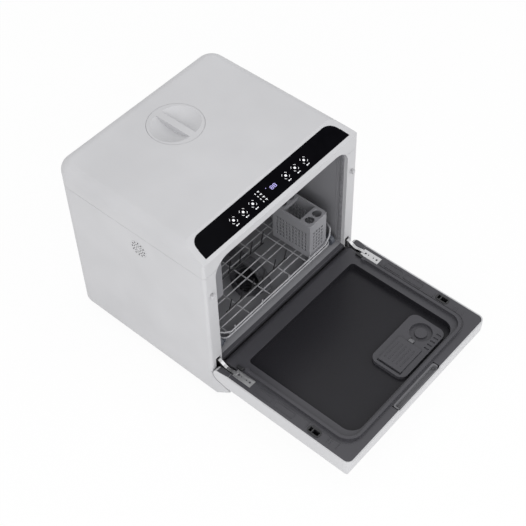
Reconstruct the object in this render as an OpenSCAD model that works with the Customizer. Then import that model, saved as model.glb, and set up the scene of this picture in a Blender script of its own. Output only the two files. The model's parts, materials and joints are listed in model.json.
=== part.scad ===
// Countertop dishwasher: cabinet with a lift-off tank cap, a drop-down door
// and a wire rack on rollers. Millimetres, +Z up, the door opens towards -Y.
// Sizes are given from three planes: the middle of the cabinet's width (X),
// the fascia that the door closes on (Y) and the surface it stands on (Z).

/* [Cabinet] */
// Width of the cabinet
body_w = 420; // [400:1:460]
// Depth from the fascia to the back
body_d = 368; // [364:1:400]
// Height over the feet
body_h = 388; // [386:1:420]
// Thickness of the moulded shells
wall = 2.6; // [2:0.1:3.2]
// Rounding along the top edges
edge_r = 22; // [12:1:26]
// Rounding of the upright back corners
rear_r = 34; // [28:1:40]
// Rounding of the upright front edges
front_r = 6; // [4:0.5:8]
// Depth of the top cover above the seam
top_cover_h = 48.5; // [44:0.5:58]
// Width of the seam's groove
seam_gap = 0.5; // [0.4:0.1:1.2]
// Depth of the sloped strip that carries the controls
slope_d = 56; // [52:1:60]
// Fall of that strip towards the door
slope_drop = 14; // [11:0.5:15]
// Reach of the chin in front of the fascia
chin_reach = 42; // [40:0.5:44]
// Depth of the toe under the chin
toe_reach = 8; // [4:0.5:14]

/* [Feet and base] */
// Height of the rubber feet
foot_h = 12; // [8:1:14]
// Radius of the rubber feet
foot_r = 14; // [10:1:16]
// Inset of the feet from the sides
foot_inset_x = 40; // [34:1:60]
// Inset of the feet from front and back
foot_inset_y = 38; // [34:1:60]

/* [Opening and tub] */
// Width of the fascia on each side of the tub's mouth
mouth_side = 28; // [27:0.5:32]
// Height of the sill that the rollers cross
sill_z = 84.7; // [84:0.1:85]
// Height of the fascia over the tub's mouth
mouth_over = 30.6; // [30:0.2:36]
// Rounding of the mouth's upper corners
mouth_r = 36; // [20:1:40]
// Depth of the pale return around the mouth
return_d = 8; // [6:0.5:10]
// Room behind the tub, for the tank
tank_room = 76; // [74:1:90]
// Thickness of the tub
tub_t = 2.5; // [2:0.1:3]
// Height of the tub's sunken floor
floor_z = 62; // [60:0.5:64]
// Rise of the floor behind the basin
ramp_rise = 8; // [4:0.5:10]
// Where the basin ends and the ramp starts
basin_y = 150; // [140:1:160]
// Width of each roller ledge
ledge_w = 26; // [24:0.5:28]

// Width of the drying duct
duct_w = 41; // [32:1:60]
// Room between the cup guard and the drying duct above it
duct_clear = 37; // [30:1:45]
// Depth of the drying duct
duct_d = 180; // [150:5:220]

/* [Controls] */
// Room beside the glass strip
glass_side = 16.6; // [14:0.2:24]
// Depth of the glass strip along the slope
glass_d = 43.4; // [38:0.2:45]
// Distance of the glass from the fascia
glass_y = 8.2; // [7:0.1:9]
// Thickness of the glass
glass_t = 2; // [1.5:0.1:2.5]
// Rounding of the glass's back corners
glass_r = 23; // [12:1:26]
// How far the glass's ends lean in
glass_lean = 6; // [2:0.5:10]

/* [Tank] */
// Radius of the fill cap
cap_r = 54.5; // [46:0.5:58]
// Place of the cap across the cabinet
cap_x = 3; // [-10:0.5:10]
// Distance of the cap's middle from the back
cap_back = 104; // [100:0.5:110]
// Depth of the finger scoops
scoop_depth = 12; // [8:0.5:13]
// Width of the cap's grip bar
bar_w = 15; // [12:0.5:20]
// Room beside the water tank, for the ports
tank_side = 81; // [78:1:100]
// Depth of the water tank
tank_d = 62; // [50:1:64]

/* [Door] */
// Thickness of the door
door_t = 38.7; // [36:0.1:40]
// Height of the open door's liner
liner_z = 85.3; // [85:0.1:86]
// Drop from the liner to the hinge axis
hinge_drop = 15.8; // [15:0.1:16.5]
// Gap between the closed door and the fascia
door_gap = 1.7; // [1.2:0.1:2.2]
// Gap around the door's rounded heel
heel_gap = 3; // [2:0.2:4]
// Rounding of the door's free corners
door_r = 14; // [6:1:20]
// Slant of the door's free edge
edge_slant = 4.6; // [0:0.2:8]
// Thickness of the door's shell and liner
door_wall = 2.5; // [2:0.1:3]
// Height of the sealing bead on the liner
bead_h = 7; // [5:0.5:8]
// Width of the sealing bead
bead_w = 6; // [4:0.5:7]
// Gap between the bead and the mouth
bead_gap = 3.5; // [2.5:0.25:5]
// Depth of the liner's pan
pan_depth = 14; // [10:0.5:16]
// Width of the finger notch
notch_w = 124; // [90:1:160]

/* [Rack] */
// Room between the rack's base and each side of the mouth
rack_side = 24; // [23:0.5:26]
// Room behind the rack, pushed in
rack_behind = 10; // [8:0.5:16]
// Height of the base wire's middle
rack_z = 104; // [103:0.5:106]
// Diameter of the frame wires
frame_wire = 3.4; // [3:0.1:4]
// Diameter of the floor wires and tines
thin_wire = 2.6; // [2.2:0.1:3]
// Diameter of the tines
tine_wire = 2.8; // [2.4:0.1:3.2]
// Height of the rail around the rack
rail_z = 133; // [128:1:140]
// Height of the second wire across the rack's front
front_rail_z = 113; // [111:0.5:118]
// Depth of the bows' bends under the rack's floor
bow_drop = 4; // [2:0.5:5]
// Height of the cup guard on the left
guard_z = 178; // [160:1:182]
// How far the sides lean out
flare = 13; // [9:0.5:13]
// Distance of the rack's front wire from the fascia, pushed in
rack_in = 14; // [13:0.5:16]
// Radius of the rollers
roller_r = 12.5; // [11:0.25:13]
// Width of the rollers
roller_w = 9.6; // [8:0.2:9.8]
// Radius of the roller axles
axle_r = 3; // [2.4:0.1:3.2]

/* [Cutlery basket] */
// Width of the basket
basket_w = 50; // [44:1:50]
// Depth of the basket
basket_d = 95; // [80:1:96]
// Height of the basket
basket_h = 92; // [80:1:94]
// Thickness of the basket's walls
basket_t = 1.8; // [1.4:0.1:2.4]

/* [Water path] */
// Place of the filter across the tub
filter_x = 5; // [0:1:10]
// Place of the filter behind the fascia
filter_y = 95; // [90:1:98]
// Radius of the filter cup
filter_r = 30; // [26:0.5:31]
// Height of the filter's collar
collar_h = 11; // [8:0.5:12]
// Angle at which the spray arm comes to rest
arm_rest = -154; // [-180:1:180]
// Length of one spray arm
arm_reach = 118; // [100:1:120]
// Place of the spray arm across the tub
arm_x = 20; // [10:1:24]
// Place of the spray arm behind the fascia
arm_y = 156; // [154:1:158]
// Height of the spray arm's underside
arm_z = 77; // [76:0.5:78]
// Thickness of the spray arm
arm_t = 9; // [7:0.5:10]

/* [Hidden] */
$fn = 48;
tiny = 0.01;
cut = 1;            // how far a cut runs past a face
seat_gap = 0.3;     // clearance between pieces that move past each other
pin_gap = 0.05;     // radial clearance of a pin in its bore
half_w = body_w / 2;
mouth_w = body_w - 2 * mouth_side;
mouth_x = mouth_w / 2;
mouth_top = body_h - mouth_over;
seam_z = body_h - top_cover_h;
tub_d = body_d - tank_room;
cap_y = body_d - cap_back;
tank_top = mouth_top - 1.8;
tank_w = body_w - 2 * tank_side;
glass_w = body_w - 2 * glass_side;
slope_a = atan(slope_drop / slope_d);
hinge_y = -(hinge_drop + door_gap);
hinge_z = liner_z - hinge_drop;
heel_r = hinge_drop;
door_under = liner_z - door_t;
heel_y = -38;       // where the door reaches its full thickness
port_reach = 12;    // how far the water ports stand out behind
door_reach = body_h - slope_drop - hinge_z - hinge_y;
fascia_y = (door_reach - body_d - port_reach) / 2;
tank_y = tub_d + tub_t + 3;
tank_z = foot_h + wall + 6;
inner_x = half_w - wall;
rack_y = rack_in;   // front wire of the rack, pushed in
rack_w = mouth_w - 2 * rack_side;
rack_x = rack_w / 2;
rack_d = tub_d - rack_in - rack_behind;
roller_z = liner_z + roller_r;
roller_x = mouth_x - 12;      // outer face of the left and right rollers
roller_at = [11, 96, rack_d - 6];    // rollers behind the rack's front wire
rack_travel = rack_in + roller_at[2];     // brings the rear rollers over the sill
basket_x = rack_x - basket_w - 11;        // left side of the basket
basket_z = rack_z + thin_wire / 2 + seat_gap;
arm_hub_r = 22;
blade_w = 22;
blade_r = 90;       // bend of the spray arm's blades
blade_turn = 2 * asin((arm_reach - blade_w / 2) / (2 * blade_r));
strap_x = mouth_x + 6.5;        // inner face of the hinge strap
strap_w = 6.5;
bracket_t = 2.5;
pin_r = 3;
pocket_in = mouth_x + 1.5;    // pocket in the door's heel for the hinge
pocket_out = mouth_x + 15;
vent_y = 161;
vent_z = body_h - 86;
vent_r = 19;
duct_y = 26;        // front of the duct, behind the mouth's ridges
duct_wall = 2;
duct_z = guard_z + duct_clear;
board_w = glass_w - 97;
port_x = half_w - 60;
port_z = 46;
rear_x = half_w - 45;
rear_screw_z = [76, 196, seam_z - 27.5];
latch_x = half_w - 15;
latch_z = body_h - 104;

white = [0.80, 0.80, 0.81];
dark = [0.30, 0.30, 0.32];
black = [0.03, 0.03, 0.04];
steel = [0.72, 0.72, 0.74];
grey = [0.55, 0.56, 0.58];

// ---------------------------------------------------------------- helpers

module placed() translate([0, fascia_y, 0]) children();

module both_sides() {
    children();
    mirror([1, 0, 0]) children();
}

// a 2D rectangle from (x0, y0) to (x1, y1) with each corner's own radius,
// in the order lower left, lower right, upper right, upper left
module round_rect(x0, y0, x1, y1, radii) {
    corners = [[x0, y0, 1, 1], [x1, y0, -1, 1], [x1, y1, -1, -1], [x0, y1, 1, -1]];
    difference() {
        translate([x0, y0]) square([x1 - x0, y1 - y0]);
        for (i = [0:3])
            if (radii[i] > 0) {
                c = corners[i];
                translate([c[0], c[1]]) scale([1, 1])
                    difference() {
                        translate([c[2] > 0 ? -cut : -radii[i], c[3] > 0 ? -cut : -radii[i]])
                            square(radii[i] + cut);
                        translate([c[2] * radii[i], c[3] * radii[i]]) circle(radii[i]);
                    }
            }
    }
}

// extrudes a drawing of (x, z) along Y, or of (y, z) along X
module along_y(y0, y1) translate([0, y1, 0]) rotate([90, 0, 0])
    linear_extrude(y1 - y0) children();
module along_x(x0, x1) translate([x0, 0, 0]) rotate([90, 0, 90])
    linear_extrude(x1 - x0) children();

// a round wire between two points
module wire(a, b, d) turned_to(a, b) cylinder(h = norm(b - a), d = d);

// puts its children at a, with their Z axis towards b
module turned_to(a, b) {
    v = b - a;
    translate(a) rotate([0, acos(v[2] / norm(v)), atan2(v[1], v[0])]) children();
}

// a wire through several points, with a ball in each bend
module wire_path(points, d) {
    for (i = [0:len(points) - 2]) wire(points[i], points[i + 1], d);
    for (i = [1:len(points) - 2]) turned_to(points[i], 2 * points[i] - points[i - 1]) sphere(d = d + 0.16);
}

// a closed flat ring of wire with round corners
module wire_ring(x0, y0, x1, y1, z, r, d) {
    for (y = [y0, y1]) wire([x0 + r, y, z], [x1 - r, y, z], d);
    for (x = [x0, x1]) wire([x, y0 + r, z], [x, y1 - r, z], d);
    for (c = [[x0 + r, y0 + r, 180], [x1 - r, y0 + r, 270], [x1 - r, y1 - r, 0], [x0 + r, y1 - r, 90]])
        translate([c[0], c[1], z]) rotate(c[2])
            rotate_extrude(angle = 90) translate([r, 0]) circle(d = d);
}

// the sloped strip's own frame: y up the slope, z out of it
module on_slope() translate([0, 0, body_h - slope_drop]) rotate([slope_a, 0, 0]) children();

// ---------------------------------------------------------------- cabinet

// side view (y, z) of the cabinet without its chin, inset by t
module side_profile(t) {
    rise = t * tan(slope_a) - t / cos(slope_a);
    back_y = (slope_drop - t + t / cos(slope_a)) / tan(slope_a);
    polygon([
        [t, foot_h - (t > 0 ? cut : 0)],
        [body_d - t, foot_h - (t > 0 ? cut : 0)],
        [body_d - t, body_h - t],
        [back_y, body_h - t],
        [t, body_h - slope_drop + rise]
    ]);
}

// front view (x, z) of the cabinet, inset by t
module front_profile(t)
    round_rect(-half_w + t, foot_h - 2 * cut, half_w - t, body_h - t, [0, 0, edge_r - t, edge_r - t]);

// the cabinet's outer form, inset by t, without the chin
module body_form(t) intersection() {
    union() {
        along_y(-cut, body_d - rear_r) front_profile(t);
        along_x(-half_w + rear_r, half_w - rear_r)
            round_rect(body_d - rear_r - cut, foot_h - 2 * cut, body_d - t, body_h - t,
                [0, 0, edge_r - t, 0]);
        both_sides() translate([half_w - rear_r, body_d - rear_r, 0])
            rotate_extrude()
                round_rect(0, foot_h - 2 * cut, rear_r - t, body_h - t, [0, 0, edge_r - t, 0]);
    }
    along_x(-half_w, half_w) side_profile(t);
    translate([0, 0, foot_h - 2 * cut]) linear_extrude(body_h)
        round_rect(-half_w + t, t, half_w - t, body_d + cut,
            [front_r - t / 2, front_r - t / 2, 0, 0]);
}

// front view (x, z) of the tub's mouth, grown by g
module mouth(g = 0)
    round_rect(-mouth_x - g, sill_z - g, mouth_x + g, mouth_top + g,
        [0, 0, mouth_r + g, mouth_r + g]);

// the space behind the fascia, with the mouth and its pale return left standing
module shell_walls() {
    difference() {
        body_form(0);
        body_form(wall);
        along_y(-cut, return_d + cut) mouth();
    }
    intersection() {
        along_y(wall - tiny, return_d) difference() {
            mouth(wall);
            mouth();
        }
        body_form(0);
    }
}

// room that the hinge straps sweep through the fascia
module strap_sweep() both_sides() intersection() {
    translate([strap_x - 3, hinge_y, hinge_z]) rotate([0, 90, 0])
        cylinder(r = 35, h = strap_w + 6);
    translate([strap_x - 4, -8.5, 0]) cube([strap_w + 8, 60, hinge_z + 33]);
}

// side view (y, z) of the chin below the open door
module chin_profile() polygon([
    [wall, foot_h], [-toe_reach, foot_h], [-chin_reach + 3, door_under - 7],
    [-chin_reach, door_under - 4], [-chin_reach, door_under - 2],
    [heel_y + 1, door_under - 2], [hinge_y, hinge_z - heel_r - heel_gap + 0.2],
    [hinge_y, hinge_z], [wall, hinge_z]
]);

module outer_shell() color(white) {
    difference() {
        union() {
            intersection() {
                shell_walls();
                translate([-half_w, -cut, foot_h - cut])
                    cube([body_w, body_d + 2 * cut, seam_z - foot_h + cut]);
            }
            along_x(-half_w, half_w) chin_profile();
        }
        // the chin is a shell, open at the back and below
        translate([-half_w + wall, 0, 0]) along_x(0, body_w - 2 * wall)
            polygon([[wall + cut, foot_h - cut], [-toe_reach + wall + 1, foot_h - cut],
                [-chin_reach + wall + 4, door_under - 7], [heel_y + 4, door_under - 5],
                [-8, door_under - 5], [-8, foot_h + 34], [wall + cut, foot_h + 34]]);
        strap_sweep();
        // round hollow that the door's heel turns in
        along_x(-half_w - cut, half_w + cut) translate([hinge_y, hinge_z]) circle(heel_r + heel_gap);
        // opening that the rear cover closes
        along_y(body_d - wall - cut, body_d + cut)
            rear_opening(0);
        // hole for the side vent
        translate([-half_w - cut, vent_y, vent_z]) rotate([0, 90, 0])
            cylinder(r = vent_r, h = wall + 2 * cut);
        // slots for the latch hooks and the hinge brackets
        both_sides() translate([latch_x - 3.3, -cut, latch_z - 2])
            cube([6.6, wall + 2 * cut, 10]);
        both_sides() translate([mouth_x + tub_t - 0.4, -9, hinge_z - 12.4])
            cube([bracket_t + 0.8, 9 + return_d + 1, 19.8]);
    }
}

module top_cover() color(white) {
    difference() {
        intersection() {
            shell_walls();
            translate([-half_w, -cut, seam_z + seam_gap])
                cube([body_w, body_d + 2 * cut, body_h]);
        }
        on_slope() translate([0, 0, -glass_t + 0.2]) linear_extrude(glass_t + cut)
            glass_outline(seat_gap);
        on_slope() translate([-board_w / 2 - 5, glass_y + 6, -wall - cut])
            cube([board_w + 10, glass_d - 16, wall + 2]);
        translate([cap_x, cap_y, body_h - wall - cut]) cylinder(r = cap_r + 0.5, h = wall + 2 * cut);
    }
    // pins that locate the top cover inside the lower shell
    for (y = [60, 180, body_d - 68]) both_sides() translate([inner_x - 3.3, y, seam_z - 8]) {
        cube([3, 14, 8 + seam_gap + 4]);
        translate([0, 0, 8 + seam_gap]) cube([4, 14, 4]);
    }
}

module glass_outline(g = 0) {
    x = glass_w / 2 + g;
    difference() {
        polygon([[-x, glass_y - g], [x, glass_y - g],
            [x - glass_lean, glass_y + glass_d + g], [-x + glass_lean, glass_y + glass_d + g]]);
        for (s = [-1, 1]) {
            cx = x - glass_lean - glass_r + 2.2;
            cy = glass_y + glass_d + g - glass_r;
            difference() {
                translate([s > 0 ? cx : -cx - glass_r - 4, cy]) square([glass_r + 4, glass_r + 4]);
                translate([s * cx, cy]) circle(glass_r);
            }
        }
    }
}

module control_glass() color(black)
    on_slope() translate([0, 0, -glass_t + 0.2]) linear_extrude(glass_t) glass_outline();

module control_board() color("darkgreen") on_slope() {
    translate([-board_w / 2, glass_y + 7, -glass_t - 4]) cube([board_w, glass_d - 19, 1.6]);
    translate([-26, glass_y + 11, -glass_t - 2.4 - tiny]) cube([44, 16, 2.2]);
    for (x = [-92, -69, -46, 46, 69, 92]) translate([x, glass_y + 19, -glass_t - 2.4 - tiny])
        cylinder(r = 6, h = 2.2);
    for (x = [-board_w / 2 + 13, board_w / 2 - 13]) translate([x, glass_y + 19, -glass_t - 2.4 - tiny])
        cylinder(r = 3.5, h = 2.4);
}

// view (x, z) of the opening in the back, inset by t
module rear_opening(t)
    round_rect(-rear_x + t, 30 + t, rear_x - t, seam_z - 17.5 - t, [8 - t, 8 - t, 8 - t, 8 - t]);

module rear_cover() color(white) {
    difference() {
        along_y(body_d - wall, body_d) difference() {
            rear_opening(seat_gap);
            for (row = [0:4]) for (col = [-3:3])
                translate([col * 26, 74 + row * 9])
                    round_rect(-10, -1.6, 10, 1.6, [1.5, 1.5, 1.5, 1.5]);
            translate([port_x, port_z]) circle(13.3);
            translate([-port_x, port_z]) circle(11.3);
            translate([-port_x + 36, port_z]) circle(7.3);
            for (x = [-1, 1]) for (z = rear_screw_z) translate([x * (rear_x - 9), z]) circle(2.2);
        }
    }
    // ledge behind the edge that the screws pull against
    both_sides() translate([rear_x - 7, body_d - 2 * wall, 90]) cube([10, wall, 90]);
}

module rear_screws() color(steel)
    for (x = [-1, 1]) for (z = rear_screw_z)
        translate([x * (rear_x - 9), body_d, z]) rotate([90, 0, 0]) difference() {
            union() {
                translate([0, 0, -1.8]) cylinder(r = 4, h = 1.8);
                cylinder(r = 1.9, h = 9);
            }
            for (a = [0, 90]) rotate(a) translate([-2.4, -0.5, -cut - 1.8]) cube([4.8, 1, cut + 1]);
        }

module base_pan() color(grey) {
    difference() {
        intersection() {
            body_form(wall + seat_gap);
            translate([-half_w, -cut, foot_h]) cube([body_w, body_d + 2, 20]);
        }
        intersection() {
            body_form(2 * wall + seat_gap);
            translate([-half_w, -cut, foot_h + wall]) cube([body_w, body_d + 2, 30]);
        }
        for (x = [-half_w + foot_inset_x, half_w - foot_inset_x])
            for (y = [foot_inset_y, body_d - foot_inset_y])
                translate([x, y, foot_h - cut]) cylinder(r = 5.05, h = wall + 2 * cut);
    }
    // cradles under the pumps, the heater and the tank
    for (x = [-150, -112]) cradle(x, filter_y, 5, 30, 38 - 19);
    for (x = [72, 104]) cradle(x, 66, 4, 24, 38 - 16);
    for (x = [-70, 50]) cradle(x, 205, 4, 20, 38 - 10);
    for (x = [-90, 0, 90]) translate([x - 3, tank_y + 6, foot_h + wall - tiny])
        cube([6, tank_d - 12, tank_z - foot_h - wall - seat_gap]);
    translate([filter_x - 20, filter_y - 20, foot_h + wall - tiny])
        cube([40, 40, 20 - foot_h - wall - seat_gap]);
    // pillars that carry the tub
    for (x = [-mouth_x + 13, mouth_x - 13]) for (y = [62, tub_d - 32])
        translate([x, y, foot_h + wall - tiny])
            cylinder(r = 7, h = sill_z - 2 * tub_t - seat_gap - foot_h - wall);
}

// a block that holds a round housing whose lowest point is at z
module cradle(x, y, t, w, z)
    translate([x, y - w / 2, foot_h + wall - tiny])
        cube([t, w, z - foot_h - wall - seat_gap]);

module feet() color([0.12, 0.12, 0.12])
    for (x = [-half_w + foot_inset_x, half_w - foot_inset_x])
        for (y = [foot_inset_y, body_d - foot_inset_y]) translate([x, y, 0]) {
            difference() {
                cylinder(r = foot_r, h = foot_h);
                translate([0, 0, -cut]) cylinder(r = foot_r - 4, h = 2 + cut);
            }
            translate([0, 0, foot_h - tiny]) cylinder(r = 5, h = wall + 2);
        }

// ------------------------------------------------------------ fill and tank

// the cap, lying on the lip of the funnel
module fill_cap() color(white) translate([cap_x, cap_y, 0]) {
    reach = cap_r - bar_w / 2 - 4;
    ball_r = (reach ^ 2 + scoop_depth ^ 2) / (2 * scoop_depth);
    difference() {
        union() {
            translate([0, 0, body_h - 4]) cylinder(r = cap_r, h = 4);
            translate([0, 0, body_h - scoop_depth - 3]) cylinder(r = 46, h = scoop_depth);
            for (a = [0, 120, 240]) rotate(a) translate([44, -6, body_h - scoop_depth - 3])
                cube([3.4, 12, 3]);
        }
        for (s = [-1, 1]) intersection() {
            translate([s * bar_w / 2, 0, body_h + ball_r - scoop_depth]) rotate([90, 0, 0])
                sphere(ball_r, $fn = 96);
            translate([s > 0 ? bar_w / 2 : -bar_w / 2 - cap_r, -cap_r, body_h - scoop_depth - cut])
                cube([cap_r, 2 * cap_r, scoop_depth + 2 * cut]);
        }
    }
}

module cap_seal() color(black) translate([cap_x, cap_y, body_h - 6.4])
    difference() {
        cylinder(r = 52, h = 2);
        translate([0, 0, -cut]) cylinder(r = 47, h = 4);
    }

// shallow bowl over the tub that leads back into the tank
module fill_funnel() color(grey) {
    low = mouth_top + tub_t + 0.6;
    top = body_h - 6.8;
    difference() {
        union() {
            translate([cap_x, cap_y, low]) cylinder(r = 60, h = top - low);
            translate([cap_x - 30, cap_y, low]) cube([60, 84, 14]);
            translate([cap_x - 26, tank_y + 5, tank_top + seat_gap]) cube([52, 40, low - tank_top]);
        }
        translate([cap_x, cap_y, top - 9]) cylinder(r = 48, h = 20);
        translate([cap_x, cap_y, low + 2]) cylinder(r = 46.6, h = 40);
        translate([cap_x - 27.5, cap_y, low + 2]) cube([55, 81.5, 9.5]);
        translate([cap_x - 23.5, tank_y + 7.5, low - 20]) cube([47, 35, 24]);
    }
}

module water_tank() color([0.85, 0.87, 0.9]) difference() {
    union() {
        translate([0, 0, tank_z]) linear_extrude(tank_top - tank_z)
            round_rect(-tank_w / 2, tank_y, tank_w / 2, tank_y + tank_d, [10, 10, 10, 10]);
        translate([0, tank_y + 30, tank_z + 10]) rotate([0, 90, 0])
            cylinder(r = 6, h = tank_w / 2 + 5.5);
    }
    translate([0, 0, tank_z + tub_t]) linear_extrude(tank_top - tank_z - 2 * tub_t)
        round_rect(-tank_w / 2 + tub_t, tank_y + tub_t, tank_w / 2 - tub_t,
            tank_y + tank_d - tub_t, [8, 8, 8, 8]);
    translate([cap_x - 23, tank_y + 8, tank_top - 10]) cube([46, 34, 20]);
    translate([0, tank_y + 30, tank_z + 10]) rotate([0, 90, 0])
        cylinder(r = 3.5, h = tank_w);
}

// ------------------------------------------------------------------- tub

module tub() color(dark) {
    difference() {
        union() {
            along_y(return_d, tub_d + tub_t) difference() {
                mouth(tub_t);
                mouth();
            }
            along_y(tub_d, tub_d + tub_t) mouth(tub_t);
            // two shallow ridges that stiffen the mouth
            for (y = [16.5, 22]) along_y(y, y + 2.4) difference() {
                mouth();
                mouth(-1.4);
                translate([-mouth_x - cut, 0]) square([mouth_w + 2 * cut, sill_z + 12]);
            }
            translate([0, 0, floor_z - tub_t]) linear_extrude(sill_z - floor_z + tub_t)
                round_rect(-mouth_x, return_d, mouth_x, tub_d + tub_t, [0, 0, 10, 10]);
        }
        // the sunken basin between the roller ledges
        along_x(-mouth_x + ledge_w, mouth_x - ledge_w)
            polygon([[26, sill_z + cut], [26, sill_z], [34, floor_z], [basin_y, floor_z],
                [tub_d - 4, floor_z + ramp_rise], [tub_d, sill_z], [tub_d, sill_z + cut]]);
        // room under the ledges
        both_sides() translate([mouth_x - ledge_w + tub_t, return_d + 6, floor_z - tub_t - cut])
            cube([ledge_w - tub_t - 2, tub_d - return_d - 8, sill_z - floor_z - tub_t + tub_t + cut - tub_t]);
        translate([filter_x, filter_y, floor_z - tub_t - cut]) cylinder(r = filter_r + 4, h = 20);
        translate([arm_x, arm_y, floor_z - tub_t - cut]) cylinder(r = 9.3, h = 20);
        translate([arm_x, arm_y, floor_z]) cylinder(r = 14.3, h = 20);
        // air slots low on the right wall, and the fan's way in on the left
        for (i = [0:3]) translate([mouth_x - cut, 116 + i * 10.5, sill_z + 3])
            along_x(0, tub_t + 2 * cut) polygon([[0, 0], [7, 0], [7, 6]]);
        translate([-mouth_x - tub_t - cut, vent_y, vent_z]) rotate([0, 90, 0])
            cylinder(r = 11, h = tub_t + 2 * cut);
    }
}

module door_gasket() color([0.4, 0.4, 0.42]) along_y(return_d + 0.4, return_d + 6)
    difference() {
        mouth(-seat_gap);
        mouth(-3.2);
        translate([-mouth_x - cut, sill_z - 4]) square([mouth_w + 2 * cut, 10]);
    }

// housing in the tub's upper left that leads the drying air
module air_duct() color(dark) {
    x0 = -mouth_x + seat_gap;
    difference() {
        along_y(duct_y, duct_y + duct_d) duct_front(0);
        along_y(duct_y + duct_wall, duct_y + duct_d - duct_wall) duct_front(duct_wall);
        // screws that hold it, and the fan's way in
        for (z = [68.4, 40.4]) translate([x0 + 17, duct_y - cut, mouth_top - z]) rotate([-90, 0, 0])
            cylinder(r = 2, h = duct_wall + 2 * cut);
        translate([x0 - cut, vent_y, vent_z]) rotate([0, 90, 0]) cylinder(r = 11, h = 6);
        // slots that let the warm air down between the dishes
        for (i = [0:6]) translate([x0 + 8, duct_y + 18 + i * 22, duct_z - cut]) cube([duct_w - 16, 8, 4]);
    }
}

// front view (x, z) of the duct, inset by t
module duct_front(t) intersection() {
    mouth(-seat_gap - t);
    translate([-mouth_x, duct_z + t]) square([duct_w - t, mouth_top]);
}

module vent_grille() color(white) translate([-half_w, vent_y, vent_z]) rotate([0, 90, 0]) {
    difference() {
        cylinder(r = vent_r - 0.2, h = wall);
        for (ring = [0:2]) for (a = [0:30:330])
            rotate(a + ring * 15) translate([5.2 + ring * 4.8, 0, -cut])
                cylinder(r = 0.9 + ring * 0.4, h = wall + 2 * cut);
    }
    translate([0, 0, wall - tiny]) difference() {
        cylinder(r = vent_r + 2, h = 1.2);
        translate([0, 0, -cut]) cylinder(r = vent_r - 2, h = 4);
    }
}

module fan_housing() color(black) translate([-inner_x + 1.6, vent_y, vent_z]) rotate([0, 90, 0])
    difference() {
        union() {
            cylinder(r = 24, h = 19.5);
            for (a = [45, 225]) rotate(a) translate([20, -6, 0]) cube([14, 12, 3]);
        }
        translate([0, 0, 2]) cylinder(r = 20, h = 15.5);
        translate([0, 0, -cut]) cylinder(r = 12.5, h = 5);
        translate([0, 0, 16]) difference() {
            cylinder(r = 11, h = 5);
            translate([0, 0, -cut]) cylinder(r = 4.5, h = 7);
            translate([-12, -1.5, 0]) cube([24, 3, 5]);
        }
    }

module fan_wheel() color([0.2, 0.2, 0.2]) translate([-inner_x + 1.6, vent_y, vent_z])
    rotate([0, 90, 0]) {
        translate([0, 0, 5]) cylinder(r = 6, h = 12.2);
        for (a = [0:45:315]) rotate(a) translate([5.5, -0.8, 6]) cube([13, 1.6, 9]);
    }

// fixed hooks that reach into the door's cups
module latch_hooks() color(white) both_sides() translate([latch_x - 3, 0, latch_z - 1.6]) {
    translate([0, -4.4, 0]) cube([6, 4.4 + wall + 1, 5]);
    translate([0, -6.6, 0]) cube([6, 2.4, 8.4]);
    translate([-4, wall + seat_gap, -6]) cube([14, 3, 20]);
}

module hinge_brackets() color(steel) both_sides() {
    x = mouth_x + tub_t;
    difference() {
        along_x(x, x + bracket_t) {
            translate([hinge_y, hinge_z]) circle(7);
            polygon([[hinge_y, hinge_z - 6], [26, hinge_z - 12], [30, hinge_z - 12],
                [30, hinge_z + 7], [hinge_y, hinge_z + 7]]);
        }
        for (y = [16, 25]) translate([x - cut, y, hinge_z - 2]) rotate([0, 90, 0])
            cylinder(r = 1.7, h = bracket_t + 2 * cut);
    }
    translate([x, hinge_y, hinge_z]) rotate([0, 90, 0]) cylinder(r = pin_r, h = 9);
}

// -------------------------------------------------------------- water path

module sump() color(black) translate([filter_x, filter_y, 0]) {
    difference() {
        union() {
            translate([0, 0, 20]) cylinder(r = 41, h = floor_z - tub_t - seat_gap - 20);
            translate([-66, 0, 38]) rotate([0, 90, 0]) cylinder(r = 8, h = 30);
            translate([20, -29, 38]) rotate([0, 90, 0]) cylinder(r = 6, h = 42);
        }
        translate([0, 0, 23]) cylinder(r = 38, h = 60);
        translate([-70, 0, 38]) rotate([0, 90, 0]) cylinder(r = 6, h = 40);
        translate([20, -29, 38]) rotate([0, 90, 0]) cylinder(r = 4, h = 60);
    }
}

module wash_pump() color([0.25, 0.25, 0.27]) translate([filter_x - 66.4, filter_y, 38])
    rotate([0, -90, 0]) {
        cylinder(r = 19, h = 24);
        translate([0, 0, 24 - tiny]) cylinder(r = 17, h = 70);
        translate([0, 0, 94 - 2 * tiny]) cylinder(r = 6, h = 5);
        for (a = [0:30:330]) rotate(a) translate([16.5, -1, 30]) cube([1.6, 2, 56]);
        // outlet that feeds the spray arm
        translate([0, 10, 14]) rotate([-90, 0, 0]) cylinder(r = 6, h = arm_y - filter_y - 18);
    }

module drain_pump() color([0.25, 0.25, 0.27]) translate([filter_x + 62.5, filter_y - 29, 38])
    rotate([0, 90, 0]) {
        cylinder(r = 16, h = 18);
        translate([0, 0, 18 - tiny]) cylinder(r = 13, h = 34);
        translate([0, 0, 52 - 2 * tiny]) cylinder(r = 4, h = 4);
    }

module heater() color(steel) translate([-84, 205, 38]) rotate([0, 90, 0]) {
    cylinder(r = 10, h = 150);
    for (z = [22, 118]) translate([0, 0, z]) cylinder(r = 12, h = 8);
}

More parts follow.
